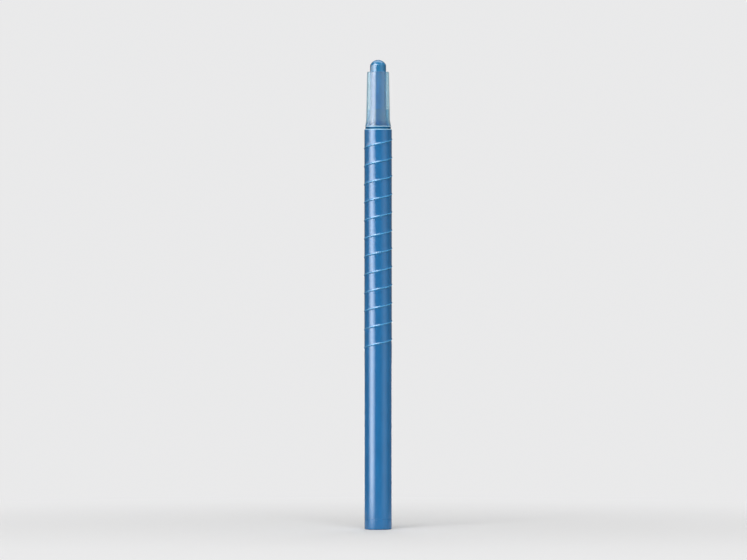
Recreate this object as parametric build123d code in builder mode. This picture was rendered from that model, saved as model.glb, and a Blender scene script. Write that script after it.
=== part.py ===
"""Twist crayon: turning the nose feeds a wax stick out of a barrel with a helical channel inside it.

The crayon stands upright on its end plug, tip up, with the origin at the middle of the foot and +Z along
its axis. Sizes are in millimetres.
"""

import os
from math import atan, cos, radians, sin, tan

from build123d import *

# Wax stick
stick_diameter = 6.0
stick_length = 100.0
tip_height = 2.0
tip_shoulder_round = 0.4
tip_projection = 4.5

# Carrier that grips the stick's rear end
carrier_base = 6.0
cup_depth = 7.0
cup_wall = 0.4
cup_slit_width = 0.6
cup_slit_depth = 5.5
grip_gap = 0.03
carrier_clearance = 0.1
peg_diameter = 1.4
peg_tip_diameter = 0.4
peg_height = 1.3

# Guide tube
tube_wall = 0.5
tube_clearance = 0.1
tube_tail = 2.0
slot_clearance = 0.1
slot_end_gap = 0.15
neck_length = 9.9
bead_height = 0.22
bead_width = 1.2
bead_drop = 3.6
bead_side_gap = 0.15
flange_thickness = 0.7
thrust_gap = 0.1
head_length = 6.5
head_wall = 0.75
head_clearance = 0.2
head_flat_depth = 0.3

# Nose sleeve
nose_length = 20.65
nose_clearance = 0.1
rim_wall = 1.0
rim_bevel = 0.2
waist_wall = 0.5
skirt_wall = 0.92
skirt_edge = 0.4
flare_height = 2.8
flare_lead = 0.4
seam_recess = 0.1
press_gap = 0.02

# Barrel with its rib and channel
rear_shank = 61.3
mouth_bevel_depth = 0.2
mouth_bevel_height = 0.3
pitch = 6.8
rib_height = 0.18
rib_width = 0.7
rib_front_drop = 5.6
channel_depth = 0.65
channel_width = 1.5
channel_clearance = 0.12
channel_cover = 0.37
channel_stop_rise = 0.22
retract_travel = 5.78

# End plug
plug_flange_height = 4.0
plug_foot_bevel = 0.4
plug_seam_bevel = 0.2
plug_floor = 1.5
plug_wall = 1.1
spigot_length = 9.0
spigot_lead_in = 0.4

# Radii, from the stick outwards
stick_radius = stick_diameter / 2
cup_bore = stick_radius + grip_gap
cup_radius = cup_bore + cup_wall
tube_bore = cup_radius + carrier_clearance
tube_radius = tube_bore + tube_wall
bead_radius = tube_radius + bead_height
barrel_bore = tube_radius + tube_clearance
groove_radius = barrel_bore + bead_height
channel_radius = barrel_bore + channel_depth
barrel_radius = channel_radius + channel_cover
spigot_radius = barrel_bore - press_gap
head_bore = stick_radius + head_clearance
head_radius = head_bore + head_wall
head_flat = head_radius - head_flat_depth
socket_radius = head_radius + press_gap
socket_flat = head_flat + press_gap
nose_bore = stick_radius + nose_clearance
rim_radius = nose_bore + rim_wall
waist_radius = socket_radius + waist_wall
skirt_radius = socket_radius + skirt_wall
flange_radius = skirt_radius - seam_recess

# Heights, from the foot upwards
spigot_top = plug_flange_height + spigot_length
channel_start = plug_flange_height + rear_shank
lower_peg = channel_start + channel_stop_rise + retract_travel
upper_peg = lower_peg + pitch / 2
carrier_rear = lower_peg - peg_height
cup_floor = carrier_rear + carrier_base
cup_top = cup_floor + cup_depth
tube_rear = carrier_rear - retract_travel - tube_tail
tip_top = cup_floor + stick_length
tip_shoulder = tip_top - tip_height
rim_height = tip_top - tip_projection
skirt_height = rim_height - nose_length
flare_top = skirt_height + flare_height
flange_bottom = skirt_height - flange_thickness
mouth_height = flange_bottom - thrust_gap
bead_middle = mouth_height - bead_drop
slot_top = mouth_height - neck_length
slot_bottom = tube_rear - peg_diameter

# Pegs and slots. The cone of a peg is parallel to the flanks of the channel
peg_radius = peg_diameter / 2
peg_tip_radius = peg_tip_diameter / 2
peg_root = cup_bore + cup_wall / 2
flank_angle = atan(channel_width / 2 / channel_depth)
peg_apex = channel_radius - channel_clearance / sin(flank_angle)
peg_shoulder = peg_apex - peg_radius / tan(flank_angle)
peg_end = peg_apex - peg_tip_radius / tan(flank_angle)
slot_width = peg_diameter + 2 * slot_clearance
feed_travel = slot_top - slot_end_gap - peg_radius - upper_peg
feed_stop = cup_top + feed_travel + slot_end_gap
entry_radius = peg_end + channel_clearance

# Radius of the dome that passes through the shoulder and the tip
dome_radius = (stick_radius**2 + tip_height**2) / (2 * tip_height)


def channel_angle(height):
    """Direction from +X, in degrees, in which the channel and the rib stand at this height."""
    front = -90
    return front + 360 * (height - (mouth_height - rib_front_drop)) / pitch


def direction(angle):
    """Level direction at this angle from +X."""
    return (cos(radians(angle)), sin(radians(angle)), 0)


def radial_plane(angle, height=0.0):
    """Plane that faces out from the axis: local x goes round the axis and local y goes up."""
    return Plane(origin=(0, 0, height), x_dir=direction(angle + 90), z_dir=direction(angle))


# The pegs stand on opposite sides, half a pitch apart, because the channel is a single helix.
# On assembly, two straight grooves let them in from the mouth to the top of the channel
peg_places = [(channel_angle(height), height) for height in (lower_peg, upper_peg)]
entry_places = [(angle + 360 * feed_travel / pitch, height + feed_travel) for angle, height in peg_places]

# Paths of the rib and of the channel, which share their turns, so the wall keeps its thickness
helix_base = Plane((0, 0, channel_start), x_dir=direction(channel_angle(channel_start)))
rib_rise = mouth_height - mouth_bevel_height - rib_width - channel_start
channel_rise = upper_peg + feed_travel + channel_stop_rise - channel_start
rib_path = helix_base * Helix(pitch, rib_rise, barrel_radius)
channel_path = helix_base * Helix(pitch, channel_rise, barrel_bore)

os.makedirs("parts", exist_ok=True)

# Wax stick: a round stick with a domed tip
with BuildPart() as wax_stick:
    with BuildSketch(Plane.XZ) as stick_profile:
        with BuildLine():
            Polyline((0, tip_top), (0, cup_floor), (stick_radius, cup_floor), (stick_radius, tip_shoulder))
            RadiusArc((0, tip_top), (stick_radius, tip_shoulder), dome_radius)
        make_face()
        shoulder = stick_profile.vertices().group_by(Axis.X)[-1].sort_by(Axis.Y)[-1]
        fillet(shoulder, tip_shoulder_round)
    revolve(axis=Axis.Z)
wax_stick.part.label = "wax_stick"

# Carrier: a cup with four spring fingers, and two drive pegs with cone ends
with BuildPart() as stick_carrier:
    with BuildSketch(Plane.XZ):
        with BuildLine():
            Polyline(
                (0, carrier_rear),
                (cup_radius, carrier_rear),
                (cup_radius, cup_top),
                (cup_bore, cup_top),
                (cup_bore, cup_floor),
                (0, cup_floor),
                close=True,
            )
        make_face()
    revolve(axis=Axis.Z)
    with BuildSketch(Plane.XY.offset(cup_top)):
        with PolarLocations(0, 2, start_angle=channel_angle(lower_peg) + 45, angular_range=180):
            Rectangle(3 * cup_radius, cup_slit_width)
    extrude(amount=-cup_slit_depth, mode=Mode.SUBTRACT)
    upright = (Align.CENTER, Align.CENTER, Align.MIN)
    for angle, height in peg_places:
        with Locations(radial_plane(angle, height).offset(peg_root)):
            Cylinder(peg_radius, peg_shoulder - peg_root, align=upright)
        with Locations(radial_plane(angle, height).offset(peg_shoulder)):
            Cone(peg_radius, peg_tip_radius, peg_end - peg_shoulder, align=upright)
stick_carrier.part.label = "stick_carrier"

# Guide tube: slots for the pegs, a snap bead, a thin flange and a head with two flats for the nose
with BuildPart() as guide_tube:
    with BuildSketch(Plane.XZ):
        with BuildLine():
            Polyline(
                (tube_bore, tube_rear),
                (tube_radius, tube_rear),
                (tube_radius, bead_middle - bead_width / 2),
                (bead_radius, bead_middle),
                (tube_radius, bead_middle + bead_width / 2),
                (tube_radius, flange_bottom),
                (flange_radius, flange_bottom),
                (flange_radius, skirt_height),
                (head_bore, skirt_height),
                (head_bore, feed_stop),
                (tube_bore, feed_stop),
                close=True,
            )
        make_face()
    revolve(axis=Axis.Z)
    with BuildSketch(Plane.XY.offset(skirt_height)):
        Circle(head_radius)
        Rectangle(2 * head_radius, 2 * head_flat, mode=Mode.INTERSECT)
        Circle(head_bore, mode=Mode.SUBTRACT)
    extrude(amount=head_length)
    for angle, height in peg_places:
        with BuildSketch(radial_plane(angle)):
            with Locations((0, (slot_top + slot_bottom) / 2)):
                SlotOverall(slot_top - slot_bottom, slot_width, rotation=90)
        extrude(amount=barrel_radius, mode=Mode.SUBTRACT)
guide_tube.part.label = "guide_tube"

# Nose sleeve: tapered and flared outside, with a bore that guides the stick and a socket for the tube
with BuildPart() as nose_sleeve:
    with BuildSketch(Plane.XZ):
        with BuildLine():
            taper = Line((rim_radius, rim_height - rim_bevel), (waist_radius, flare_top))
            flare_aim = waist_radius, flare_top - flare_lead
            flare = Bezier(taper @ 1, flare_aim, (skirt_radius, skirt_height + skirt_edge))
            Polyline(
                flare @ 1,
                (skirt_radius, skirt_height),
                (nose_bore, skirt_height),
                (nose_bore, rim_height),
                (rim_radius - rim_bevel, rim_height),
                taper @ 0,
            )
        make_face()
    revolve(axis=Axis.Z)
    with BuildSketch(Plane.XY.offset(skirt_height)):
        Circle(socket_radius)
        Rectangle(2 * socket_radius, 2 * socket_flat, mode=Mode.INTERSECT)
    extrude(amount=head_length, mode=Mode.SUBTRACT)
nose_sleeve.part.label = "nose_sleeve"

# Barrel: a tube with a snap groove under its mouth, a helical rib outside and a helical channel inside
with BuildPart() as barrel:
    with BuildSketch(Plane.XZ):
        with BuildLine():
            Polyline(
                (barrel_bore, plug_flange_height),
                (barrel_radius, plug_flange_height),
                (barrel_radius, mouth_height - mouth_bevel_height),
                (barrel_radius - mouth_bevel_depth, mouth_height),
                (barrel_bore, mouth_height),
                (barrel_bore, bead_middle + bead_width / 2 + bead_side_gap),
                (groove_radius, bead_middle),
                (barrel_bore, bead_middle - bead_width / 2 - bead_side_gap),
                close=True,
            )
        make_face()
    revolve(axis=Axis.Z)
    turnings = (
        (rib_path, rib_height, rib_width, Mode.ADD),
        (channel_path, channel_depth, channel_width, Mode.SUBTRACT),
    )
    for path, height, width, mode in turnings:
        # A triangle that points outwards, with its flanks carried on inwards through the wall's face
        with BuildSketch(Plane(path @ 0, x_dir=helix_base.x_dir, z_dir=path % 0)):
            with BuildLine():
                Polyline((height, 0), (-height, width), (-height, -width), close=True)
            make_face()
        sweep(path=path, is_frenet=True, mode=mode)
    for angle, height in entry_places:
        with BuildSketch(radial_plane(angle)):
            with Locations((0, mouth_height)):
                Rectangle(channel_width, 2 * (mouth_height - height))
        extrude(amount=entry_radius, mode=Mode.SUBTRACT)
barrel.part.label = "barrel"

# End plug: a flat foot with a hollow spigot that is pressed into the barrel
with BuildPart() as end_plug:
    with BuildSketch(Plane.XZ):
        with BuildLine():
            Polyline(
                (0, 0),
                (barrel_radius - plug_foot_bevel, 0),
                (barrel_radius, plug_foot_bevel),
                (barrel_radius, plug_flange_height - plug_seam_bevel),
                (barrel_radius - plug_seam_bevel, plug_flange_height),
                (spigot_radius, plug_flange_height),
                (spigot_radius, spigot_top - spigot_lead_in),
                (spigot_radius - spigot_lead_in, spigot_top),
                (spigot_radius - plug_wall, spigot_top),
                (spigot_radius - plug_wall, plug_floor),
                (0, plug_floor),
                close=True,
            )
        make_face()
    revolve(axis=Axis.Z)
end_plug.part.label = "end_plug"

for piece in (wax_stick, stick_carrier, guide_tube, nose_sleeve, barrel, end_plug):
    export_step(piece.part, f"parts/{piece.part.label}.step")

print(f"feed {feed_travel:.3f} mm, {360 * feed_travel / pitch:.2f} degrees")
print(f"retract {retract_travel:.3f} mm, {360 * retract_travel / pitch:.2f} degrees")
print(f"barrel {2 * barrel_radius:.2f} mm across, {tip_top:.2f} mm overall")
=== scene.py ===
"""Looks of the twist crayon: glossy ribbed barrel, translucent nose, wax stick, stage, light and camera."""

from math import acos, ceil, cos, pi, radians, sin, tan

import bmesh
import bpy
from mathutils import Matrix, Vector


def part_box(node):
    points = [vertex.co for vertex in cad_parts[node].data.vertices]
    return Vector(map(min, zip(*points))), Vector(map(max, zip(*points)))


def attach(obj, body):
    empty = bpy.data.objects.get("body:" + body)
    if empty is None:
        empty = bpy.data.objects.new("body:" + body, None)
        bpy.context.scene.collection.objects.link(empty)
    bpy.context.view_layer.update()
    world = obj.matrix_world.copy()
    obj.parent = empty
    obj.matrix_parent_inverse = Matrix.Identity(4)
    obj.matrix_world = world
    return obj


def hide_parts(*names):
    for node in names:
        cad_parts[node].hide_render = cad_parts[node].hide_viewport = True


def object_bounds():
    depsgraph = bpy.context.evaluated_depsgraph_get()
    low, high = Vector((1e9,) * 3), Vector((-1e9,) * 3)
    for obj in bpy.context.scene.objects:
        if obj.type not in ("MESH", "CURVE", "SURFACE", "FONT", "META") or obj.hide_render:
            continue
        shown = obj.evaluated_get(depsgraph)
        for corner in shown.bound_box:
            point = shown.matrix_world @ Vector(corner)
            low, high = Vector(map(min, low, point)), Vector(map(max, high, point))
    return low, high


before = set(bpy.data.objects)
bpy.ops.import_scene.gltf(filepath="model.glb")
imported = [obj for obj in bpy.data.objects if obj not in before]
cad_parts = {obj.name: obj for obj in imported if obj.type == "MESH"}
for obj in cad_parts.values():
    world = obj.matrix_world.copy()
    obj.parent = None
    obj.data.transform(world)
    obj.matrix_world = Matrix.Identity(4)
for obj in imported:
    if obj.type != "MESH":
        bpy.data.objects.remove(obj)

# Boxes of the whole CAD model and of the nodes that are replaced
cad_low, cad_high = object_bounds()
stick_low, stick_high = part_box("wax_stick")
nose_low, nose_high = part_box("nose_sleeve")
barrel_low, barrel_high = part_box("barrel")
plug_low, plug_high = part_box("end_plug")

mm = 0.001

# Camera: the crayon's place and scale in the photograph, with a long lens from straight in front
picture_width = 747
picture_height = 560
pixels_per_metre = 2667
axis_pixel = 378.1
tip_pixel = 59.9
camera_distance = 2.0
sensor_width = 36

# Stage
background = (0.82, 0.82, 0.825, 1)
ambient_strength = 0.25
see_through_share = 0.6
floor_half_width = 0.5
floor_tone = (0.62, 0.62, 0.62, 1)
floor_roughness = 0.8
floor_gloss = 0.1
floor_fade_start = 0.02
floor_fade_end = 0.3

# Lamps: broad fills, tall panels in layers, and small cards for the nose
fill_distance = 1.1
fill_width = 0.9
fill_height = 0.7
panel_distance = 0.85
panel_elevation = 20
panel_height = 1.6
panel_layers = (1, 0.62, 0.3)
layer_gap = 0.01
card_distance = 0.15
card_height = 0.034

# Wax stick
tip_height = 2.0 * mm
tip_shoulder_round = 0.4 * mm
stick_foot_round = 0.2 * mm

# Nose sleeve
rim_radius = 4.1 * mm
rim_round = 0.25 * mm
waist_radius = 4.47 * mm
flare_height = 2.8 * mm
flare_lead = 0.4 * mm
flare_round = 4.0 * mm
skirt_edge = 0.3 * mm
skirt_bead = 0.08 * mm
skirt_round = 0.12 * mm
nose_bore = 3.1 * mm
nose_bore_round = 0.15 * mm
socket_radius = 3.97 * mm
socket_depth = 6.5 * mm
socket_round = 0.1 * mm

# Guide tube, which keeps its CAD shape
guide_bore = 3.53 * mm
guide_tint_depth = 0.2 * mm
seam_shade_height = 0.1 * mm

# Barrel and its rib
barrel_radius = plug_high.x
barrel_bore = 4.13 * mm
barrel_bore_round = 0.1 * mm
mouth_bevel_depth = 0.2 * mm
mouth_bevel_height = 0.3 * mm
mouth_round = 0.15 * mm
pitch = 6.8 * mm
rib_height = 0.18 * mm
rib_half_width = 0.48 * mm
rib_front_drop = 5.6 * mm
rib_start = 65.3 * mm
rib_run_in = 1.2 * mm

# End plug
flange_height = 4.0 * mm
foot_round = 0.5 * mm
seam_round = 0.2 * mm
spigot_radius = 4.11 * mm
spigot_round = 0.4 * mm
plug_bore = 3.01 * mm
plug_floor = 1.5 * mm

# Steps round a turn, round a corner, over the dome, over the rib and over the wall between its turns
turn_steps = 120
corner_steps = 5
dome_steps = 16
rib_steps = 10
wall_steps = 4

# Points closer than this are one point, and edges sharper than this stay sharp
same_point = 1e-7
sharp_angle = radians(32)

# Noise scales of all materials, per metre, and the middle part of the noise that is used
cloud_scale = 260
cloud_stretch = (1, 1, 0.35)
gloss_scale = 900
noise_detail = 3
noise_low = 0.3
noise_high = 0.7

# Colours of zones within a piece: painted highlights on the rib crest, the mouth edge and the skirt edge,
# painted shade with a deeper tint in the flare, painted shade in the seam, and the tint of the guide tube's
# bore
rib_crest_highlight_colour = (0.05, 0.3, 0.58, 1)
mouth_highlight_colour = (0.32, 0.6, 0.8, 1)
flare_tint_and_shade_colour = (0.08, 0.4, 0.74, 1)
flare_share = 0.8
skirt_edge_highlight_colour = (0.46, 0.75, 0.95, 1)
guide_bore_colour = (0.12, 0.58, 1, 1)
seam_shade_colour = (0.008, 0.11, 0.26, 1)

# How much light passes through the nose, its frosted skirt edge and the guide tube
nose_clearness = 0.95
skirt_clearness = 0.2
guide_clearness = 0.86

# Axes along which a zone is measured: out from the crayon's axis, or up along it
radial = (1, 1, 0)
upright = (0, 0, 1)


def link(name, data):
    """Adds an object to the scene."""
    item = bpy.data.objects.new(name, data)
    bpy.context.scene.collection.objects.link(item)
    return item


def rounded(corners):
    """Outline of (radius, height) points in which each corner is rounded by its third number."""
    points = []
    for index, (across, up, size) in enumerate(corners):
        corner = Vector((across, up))
        if size == 0:
            points.append(corner)
            continue
        before = (Vector(corners[index - 1][:2]) - corner).normalized()
        after = (Vector(corners[(index + 1) % len(corners)][:2]) - corner).normalized()
        half = acos(before.dot(after)) / 2
        centre = corner + (before + after).normalized() * size / sin(half)
        start = corner + before * size / tan(half) - centre
        end = corner + after * size / tan(half) - centre
        for step in range(corner_steps + 1):
            points.append(centre + size * start.slerp(end, step / corner_steps))
    return points


def ring(mesh, radius, height):
    """One ring of vertices, or a single one on the axis."""
    if radius < same_point:
        return [mesh.verts.new((0, 0, height))] * turn_steps
    turns = [2 * pi * step / turn_steps for step in range(turn_steps)]
    return [mesh.verts.new((radius * cos(turn), radius * sin(turn), height)) for turn in turns]


def band(mesh, first, second):
    """Faces between two rings."""
    for step in range(turn_steps):
        after = (step + 1) % turn_steps
        corners = []
        for vertex in (first[step], first[after], second[after], second[step]):
            if vertex not in corners:
                corners.append(vertex)
        mesh.faces.new(corners)


def turned(mesh, outline, closed):
    """Turns an outline of (radius, height) points about the axis."""
    rings = [ring(mesh, across, up) for across, up in outline]
    for first, second in zip(rings, rings[1:]):
        band(mesh, first, second)
    if closed:
        band(mesh, rings[-1], rings[0])


def piece(name, mesh, body, node, material):
    """Makes an object of a finished mesh that stands for a CAD node and rides on its body."""
    bmesh.ops.remove_doubles(mesh, verts=mesh.verts, dist=same_point)
    bmesh.ops.recalc_face_normals(mesh, faces=mesh.faces)
    data = bpy.data.meshes.new(name)
    mesh.to_mesh(data)
    mesh.free()
    data.shade_smooth()
    data.set_sharp_from_angle(angle=sharp_angle)
    data.materials.append(material)
    item = link(name, data)
    item.modifiers.new("flat_walls", "WEIGHTED_NORMAL").keep_sharp = True
    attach(item, body)
    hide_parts(node)


def noise(tree, scale, stretch=(1, 1, 1)):
    """Adds a noise pattern in the frame's metres and returns its value, from 0 to 1."""
    place = tree.nodes.new("ShaderNodeTexCoord")
    mapping = tree.nodes.new("ShaderNodeMapping")
    mapping.inputs["Scale"].default_value = stretch
    pattern = tree.nodes.new("ShaderNodeTexNoise")
    pattern.inputs["Scale"].default_value = scale
    pattern.inputs["Detail"].default_value = noise_detail
    tree.links.new(place.outputs["Object"], mapping.inputs["Vector"])
    tree.links.new(mapping.outputs["Vector"], pattern.inputs["Vector"])
    return pattern.outputs["Fac"]


def reach(tree, axes):
    """Adds the distance from the frame's origin, counted only along these axes."""
    place = tree.nodes.new("ShaderNodeTexCoord")
    along = tree.nodes.new("ShaderNodeVectorMath")
    along.operation = "MULTIPLY"
    along.inputs[1].default_value = axes
    length = tree.nodes.new("ShaderNodeVectorMath")
    length.operation = "LENGTH"
    tree.links.new(place.outputs["Object"], along.inputs[0])
    tree.links.new(along.outputs["Vector"], length.inputs[0])
    return length.outputs["Value"]


def ramp(tree, value, start, end, low=0.0, high=1.0, smooth=False):
    """Turns a value into one that runs from low, at start, to high, at end."""
    node = tree.nodes.new("ShaderNodeMapRange")
    node.interpolation_type = "SMOOTHSTEP" if smooth else "LINEAR"
    node.inputs["From Min"].default_value = start
    node.inputs["From Max"].default_value = end
    node.inputs["To Min"].default_value = low
    node.inputs["To Max"].default_value = high
    tree.links.new(value, node.inputs["Value"])
    return node.outputs["Result"]


def tint(material, factor, colour):
    """Mixes a colour into the material's own by this factor."""
    tree = material.node_tree
    base = tree.nodes["Principled BSDF"].inputs["Base Color"]
    blend = tree.nodes.new("ShaderNodeMix")
    blend.data_type = "RGBA"
    blend.inputs["A"].default_value = base.default_value
    blend.inputs["B"].default_value = colour
    if base.is_linked:
        tree.links.new(base.links[0].from_socket, blend.inputs["A"])
    tree.links.new(factor, blend.inputs["Factor"])
    tree.links.new(blend.outputs["Result"], base)


def zone(material, axes, start, end, colour, share=1.0):
    """Tints a material from nothing at the start to this share of the colour at the end, and beyond it."""
    tree = material.node_tree
    tint(material, ramp(tree, reach(tree, axes), start, end, 0, share), colour)


def clearness(material, start, end, low, high):
    """Lets the light that passes through a material run from low to high between two heights."""
    tree = material.node_tree
    share = ramp(tree, reach(tree, upright), start, end, low, high)
    tree.links.new(share, tree.nodes["Principled BSDF"].inputs["Transmission Weight"])


def moulding(name, dark, light, roughness, grain_scale, grain_depth, **settings):
    """Moulded plastic or wax: a cloudy colour, uneven gloss, a fine grain and other shader settings."""
    material = bpy.data.materials.new(name)
    material.use_nodes = True
    tree = material.node_tree
    shader = tree.nodes["Principled BSDF"]
    shader.inputs["Base Color"].default_value = dark
    cloud = ramp(tree, noise(tree, cloud_scale, cloud_stretch), noise_low, noise_high)
    tint(material, cloud, light)
    gloss = ramp(tree, noise(tree, gloss_scale), noise_low, noise_high, *roughness)
    tree.links.new(gloss, shader.inputs["Roughness"])
    grain = tree.nodes.new("ShaderNodeBump")
    grain.inputs["Distance"].default_value = grain_depth
    tree.links.new(noise(tree, grain_scale), grain.inputs["Height"])
    tree.links.new(grain.outputs["Normal"], shader.inputs["Normal"])
    for socket, value in settings.items():
        shader.inputs[socket.replace("_", " ")].default_value = value
    return material


blue_plastic = moulding(
    "blue_plastic",
    dark=(0.007, 0.138, 0.35, 1),
    light=(0.009, 0.156, 0.39, 1),
    roughness=(0.15, 0.2),
    grain_scale=500,
    grain_depth=3e-7,
    IOR=1.58,
)
blue_wax = moulding(
    "blue_wax",
    dark=(0.01, 0.154, 0.335, 1),
    light=(0.014, 0.179, 0.375, 1),
    roughness=(0.12, 0.18),
    grain_scale=2200,
    grain_depth=2e-6,
    IOR=1.5,
    Coat_Weight=0.35,
    Coat_Roughness=0.1,
)
clear_nose = moulding(
    "clear_nose",
    dark=(0.5, 0.82, 1, 1),
    light=(0.54, 0.86, 1, 1),
    roughness=(0.06, 0.1),
    grain_scale=500,
    grain_depth=3e-7,
    IOR=1.4,
    Coat_Weight=0.6,
    Coat_Roughness=0.09,
)
clear_guide = moulding(
    "clear_guide",
    dark=(0.8, 0.95, 1, 1),
    light=(0.84, 0.97, 1, 1),
    roughness=(0.12, 0.16),
    grain_scale=500,
    grain_depth=3e-7,
    IOR=1.4,
    Specular_IOR_Level=0.1,
)
inner_plastic = moulding(
    "inner_plastic",
    dark=(0.015, 0.15, 0.35, 1),
    light=(0.02, 0.18, 0.4, 1),
    roughness=(0.25, 0.35),
    grain_scale=900,
    grain_depth=2e-6,
    IOR=1.49,
)

# The thin crest of the rib and the edge of the barrel's mouth are painted paler than the barrel's wall, as
# painted highlights where they catch the light from above
crest_highlight_start = barrel_radius + 0.2 * rib_height
crest_highlight_end = barrel_radius + 0.8 * rib_height
zone(blue_plastic, radial, crest_highlight_start, crest_highlight_end, rib_crest_highlight_colour)
mouth_highlight_start = barrel_high.z - 1.1 * mouth_bevel_height
mouth_highlight_end = barrel_high.z - 0.7 * mouth_bevel_height
zone(blue_plastic, upright, mouth_highlight_start, mouth_highlight_end, mouth_highlight_colour)

# The nose is painted deeper blue in its flare: a painted shade for the darker surroundings seen through it,
# and a deeper tint where its wall is thicker
zone(clear_nose, upright, nose_low.z + flare_height, nose_low.z + skirt_edge, flare_tint_and_shade_colour, flare_share)
# The lower edge of the skirt is frosted so it lets less light through, and its pale colour there is a
# painted highlight along the edge
frost_and_highlight_start = nose_low.z + 1.3 * skirt_edge
frost_and_highlight_end = nose_low.z + 0.9 * skirt_edge
zone(clear_nose, upright, frost_and_highlight_start, frost_and_highlight_end, skirt_edge_highlight_colour)
clearness(clear_nose, frost_and_highlight_end, frost_and_highlight_start, skirt_clearness, nose_clearness)

# The guide tube is clear in the nose, with a blue bore, and is painted dark and made opaque in the seam
# under the nose, as painted shade in the recess between nose and barrel
zone(clear_guide, radial, guide_bore + guide_tint_depth, guide_bore, guide_bore_colour)
zone(clear_guide, upright, nose_low.z + seam_shade_height, nose_low.z, seam_shade_colour)
clearness(clear_guide, nose_low.z, nose_low.z + seam_shade_height, 0, guide_clearness)

# The two inner pieces keep their CAD shapes
for node, material in (("guide_tube", clear_guide), ("stick_carrier", inner_plastic)):
    node_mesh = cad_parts[node].data
    node_mesh.materials.clear()
    node_mesh.materials.append(material)

# Wax stick with a domed tip
stick_radius = stick_high.x
dome_radius = (stick_radius**2 + tip_height**2) / (2 * tip_height)
dome_half_angle = acos(1 - tip_height / dome_radius)
dome = []
for step in range(dome_steps):
    lean = dome_half_angle * step / dome_steps
    dome.append((dome_radius * sin(lean), stick_high.z - dome_radius * (1 - cos(lean)), 0))
stick_outline = rounded(
    [
        *dome,
        (stick_radius, stick_high.z - tip_height, tip_shoulder_round),
        (stick_radius, stick_low.z, stick_foot_round),
        (0, stick_low.z, 0),
    ]
)
stick_mesh = bmesh.new()
turned(stick_mesh, stick_outline, closed=False)
piece("wax", stick_mesh, "stick", "wax_stick", blue_wax)

# Nose sleeve, with its outside first, then its socket and bore
skirt_radius = nose_high.x
nose_outline = rounded(
    [
        (rim_radius, nose_high.z, rim_round),
        (waist_radius, nose_low.z + flare_height - flare_lead, flare_round),
        (skirt_radius - skirt_bead, nose_low.z + skirt_edge, 0),
        (skirt_radius, nose_low.z + skirt_edge, skirt_bead),
        (skirt_radius, nose_low.z, skirt_round),
        (socket_radius, nose_low.z, socket_round),
        (socket_radius, nose_low.z + socket_depth, 0),
        (nose_bore, nose_low.z + socket_depth, 0),
        (nose_bore, nose_high.z, nose_bore_round),
    ]
)
nose_mesh = bmesh.new()
turned(nose_mesh, nose_outline, closed=True)
piece("nose", nose_mesh, "nose", "nose_sleeve", clear_nose)

# Barrel: the skin follows the helix of the rib, and the bore and both ends are turned
mouth_edge = barrel_high.z - mouth_bevel_height - mouth_round


def rib_rise_at(height, offset):
    """How far the rib stands out at this offset from its centre line, where the line is at this height."""
    if abs(offset) >= rib_half_width:
        return 0
    run_in = min(max((height - rib_start) / rib_run_in, 0), 1)
    run_out = min(max((mouth_edge - height) / rib_run_in, 0), 1)
    crest = (1 + cos(pi * offset / rib_half_width)) / 2
    return rib_height * crest * run_in * run_out


offsets = [rib_half_width * (2 * step / rib_steps - 1) for step in range(rib_steps + 1)]
wall_height = pitch - 2 * rib_half_width
offsets += [rib_half_width + wall_height * step / wall_steps for step in range(1, wall_steps)]
front_turn = -pi / 2
front_height = barrel_high.z - rib_front_drop
first_row = -turn_steps * ceil((front_height - barrel_low.z + pitch) / pitch)
last_row = turn_steps * ceil((barrel_high.z - front_height + pitch) / pitch)
barrel_mesh = bmesh.new()
skin = {}
for row in range(first_row, last_row + 1):
    turn = front_turn + 2 * pi * row / turn_steps
    line_height = front_height + pitch * row / turn_steps
    for column, offset in enumerate(offsets):
        height = min(max(line_height + offset, barrel_low.z), mouth_edge)
        out = barrel_radius + rib_rise_at(line_height, offset)
        skin[row, column] = barrel_mesh.verts.new((out * cos(turn), out * sin(turn), height))
for row in range(first_row, last_row - turn_steps):
    for column in range(len(offsets)):
        above = (row, column + 1) if column + 1 < len(offsets) else (row + turn_steps, 0)
        corners = [skin[row, column], skin[row + 1, column], skin[above[0] + 1, above[1]], skin[above]]
        barrel_mesh.faces.new(corners)
mouth_outline = rounded(
    [
        (barrel_radius, mouth_edge, 0),
        (barrel_radius, barrel_high.z - mouth_bevel_height, mouth_round),
        (barrel_radius - mouth_bevel_depth, barrel_high.z, mouth_round),
        (barrel_bore, barrel_high.z, barrel_bore_round),
        (barrel_bore, barrel_low.z, 0),
        (barrel_radius, barrel_low.z, 0),
    ]
)
turned(barrel_mesh, mouth_outline, closed=False)
bmesh.ops.remove_doubles(barrel_mesh, verts=barrel_mesh.verts, dist=same_point)
bmesh.ops.dissolve_degenerate(barrel_mesh, edges=barrel_mesh.edges, dist=same_point)
piece("barrel_skin", barrel_mesh, "barrel", "barrel", blue_plastic)

# End plug: rounded foot, flange with a fine seam under the barrel, and hollow spigot
plug_outline = rounded(
    [
        (0, plug_low.z, 0),
        (barrel_radius, plug_low.z, foot_round),
        (barrel_radius, flange_height, seam_round),
        (spigot_radius, flange_height, 0),
        (spigot_radius, plug_high.z, spigot_round),
        (plug_bore, plug_high.z, 0),
        (plug_bore, plug_floor, 0),
        (0, plug_floor, 0),
    ]
)
plug_mesh = bmesh.new()
turned(plug_mesh, plug_outline, closed=False)
piece("plug", plug_mesh, "barrel", "end_plug", blue_plastic)

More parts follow.
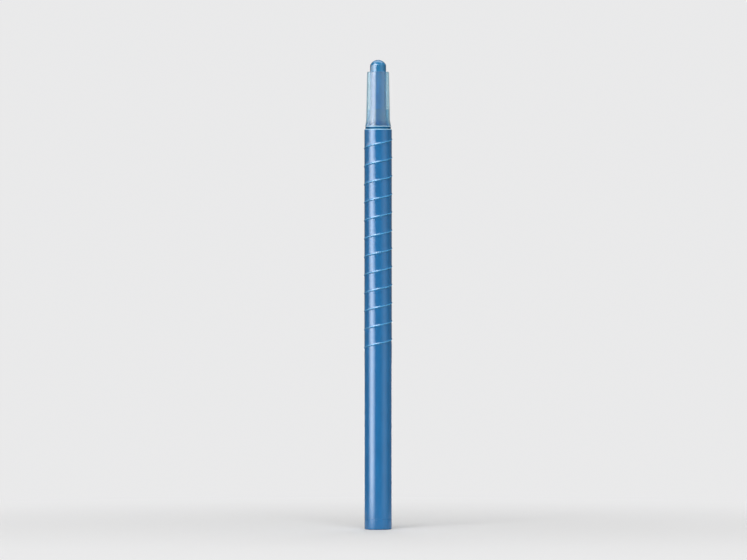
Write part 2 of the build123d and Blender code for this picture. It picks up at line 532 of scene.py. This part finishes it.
# Floor: a pale sheet that fades out into the background, and for all but the camera into nothing
floor_signs = ((-1, -1), (1, -1), (1, 1), (-1, 1))
floor_mesh = bpy.data.meshes.new("floor")
floor_corners = [(x * floor_half_width, y * floor_half_width, 0) for x, y in floor_signs]
floor_mesh.from_pydata(floor_corners, [], [(0, 1, 2, 3)])
floor_material = bpy.data.materials.new("floor")
floor_material.use_nodes = True
floor_tree = floor_material.node_tree
floor_nodes = floor_tree.nodes
floor_shader = floor_nodes["Principled BSDF"]
floor_shader.inputs["Base Color"].default_value = floor_tone
floor_shader.inputs["Roughness"].default_value = floor_roughness
floor_shader.inputs["Specular IOR Level"].default_value = floor_gloss
far_nothing = floor_nodes.new("ShaderNodeBsdfTransparent")
far_tone = floor_nodes.new("ShaderNodeEmission")
far_tone.inputs["Color"].default_value = background
far_rays = floor_nodes.new("ShaderNodeLightPath")
far = floor_nodes.new("ShaderNodeMixShader")
floor_tree.links.new(far_rays.outputs["Is Camera Ray"], far.inputs["Fac"])
floor_tree.links.new(far_nothing.outputs["BSDF"], far.inputs[1])
floor_tree.links.new(far_tone.outputs["Emission"], far.inputs[2])
floor_fade = ramp(floor_tree, reach(floor_tree, radial), floor_fade_start, floor_fade_end, smooth=True)
floor_mix = floor_nodes.new("ShaderNodeMixShader")
floor_tree.links.new(floor_fade, floor_mix.inputs["Fac"])
floor_tree.links.new(floor_shader.outputs["BSDF"], floor_mix.inputs[1])
floor_tree.links.new(far.outputs["Shader"], floor_mix.inputs[2])
floor_tree.links.new(floor_mix.outputs["Shader"], floor_nodes["Material Output"].inputs["Surface"])
floor_mesh.materials.append(floor_material)
link("floor", floor_mesh)

# World: a pale background that also shows through the nose, over a softer ambient light
world = bpy.data.worlds.new("studio")
bpy.context.scene.world = world
world.use_nodes = True
world_nodes = world.node_tree.nodes
world_links = world.node_tree.links
ambient = world_nodes["Background"]
ambient.inputs["Color"].default_value = (1, 1, 1, 1)
ambient.inputs["Strength"].default_value = ambient_strength
shown = world_nodes.new("ShaderNodeBackground")
shown.inputs["Color"].default_value = background
shown.inputs["Strength"].default_value = 1
rays = world_nodes.new("ShaderNodeLightPath")
seen = world_nodes.new("ShaderNodeMath")
seen.operation = "MULTIPLY_ADD"
seen.inputs[1].default_value = see_through_share
world_links.new(rays.outputs["Is Transmission Ray"], seen.inputs[0])
world_links.new(rays.outputs["Is Camera Ray"], seen.inputs[2])
choice = world_nodes.new("ShaderNodeMixShader")
world_links.new(seen.outputs["Value"], choice.inputs["Fac"])
world_links.new(ambient.outputs["Background"], choice.inputs[1])
world_links.new(shown.outputs["Background"], choice.inputs[2])
world_links.new(choice.outputs["Shader"], world_nodes["World Output"].inputs["Surface"])

# Lamps
middle = Vector((0, 0, (cad_low.z + cad_high.z) / 2))
nose_middle = Vector((0, 0, (nose_low.z + stick_high.z) / 2))


def outwards(azimuth, elevation):
    """Direction from the crayon. Azimuth 0 is towards the camera and grows to the right."""
    turn = radians(azimuth)
    rise = radians(elevation)
    return Vector((sin(turn) * cos(rise), -cos(turn) * cos(rise), sin(rise)))


def lamp(name, target, direction, distance, width, height, brightness):
    """A soft panel that faces its target from this direction and distance."""
    light = bpy.data.lights.new(name, "AREA")
    light.shape = "RECTANGLE"
    light.size = width
    light.size_y = height
    light.energy = brightness * pi * width * height
    item = link(name, light)
    item.location = target + distance * direction
    item.rotation_mode = "QUATERNION"
    item.rotation_quaternion = direction.to_track_quat("Z", "Y")
    item.visible_camera = False
    return item


def fill(name, azimuth, elevation, brightness):
    """A broad lamp that lights the crayon without showing in its gloss."""
    direction = outwards(azimuth, elevation)
    item = lamp(name, middle, direction, fill_distance, fill_width, fill_height, brightness)
    item.visible_glossy = False


def shine(name, target, direction, distance, width, height, brightness):
    """A panel that only shows as a reflection."""
    item = lamp(name, target, direction, distance, width, height, brightness)
    item.visible_diffuse = False
    item.visible_transmission = False


def softbox(name, azimuth, width, brightness):
    """A tall panel beside the crayon in layers, so that it is brightest along its middle."""
    direction = outwards(azimuth, panel_elevation)
    layer_brightness = brightness / len(panel_layers)
    for index, share in enumerate(panel_layers):
        distance = panel_distance + layer_gap * index
        shine(f"{name}_{index}", middle, direction, distance, width * share, panel_height, layer_brightness)


def card(name, azimuth, elevation, width, brightness):
    """A small panel close to the nose, for a reflection in it."""
    direction = outwards(azimuth, elevation)
    shine(name, nose_middle, direction, card_distance, width, card_height, brightness)


fill("front_fill", azimuth=-8, elevation=45, brightness=7)
fill("back_fill", azimuth=172, elevation=25, brightness=3.5)
softbox("left_panel", azimuth=-54, width=1.0, brightness=9.0)
softbox("right_panel", azimuth=55, width=1.1, brightness=0.95)
below_floor = Vector((0, 0, -0.5))
backwards = outwards(azimuth=180, elevation=0)
shine("back_panel", below_floor, backwards, panel_distance, width=0.5, height=1.1, brightness=3)
high_front = outwards(azimuth=-20, elevation=46)
shine("high_card", middle, high_front, panel_distance, width=0.5, height=0.4, brightness=6)
card("nose_card", azimuth=-94, elevation=4.5, width=0.12, brightness=2.8)
card("nose_front_card", azimuth=-33, elevation=2, width=0.045, brightness=2.8)
behind = middle + Vector((0, 0.2, 0))
shine("ceiling", behind, Vector(upright), distance=0.55, width=0.7, height=0.4, brightness=2)

# Camera
lens = bpy.data.cameras.new("camera")
lens.sensor_width = sensor_width
lens.lens = sensor_width * camera_distance * pixels_per_metre / picture_width
camera = link("camera", lens)
camera_x = (picture_width / 2 - axis_pixel) / pixels_per_metre
camera_z = cad_high.z - (picture_height / 2 - tip_pixel) / pixels_per_metre
camera.location = (camera_x, -camera_distance, camera_z)
camera.rotation_euler = (pi / 2, 0, 0)
bpy.context.scene.camera = camera
bpy.context.scene.view_settings.view_transform = "Standard"
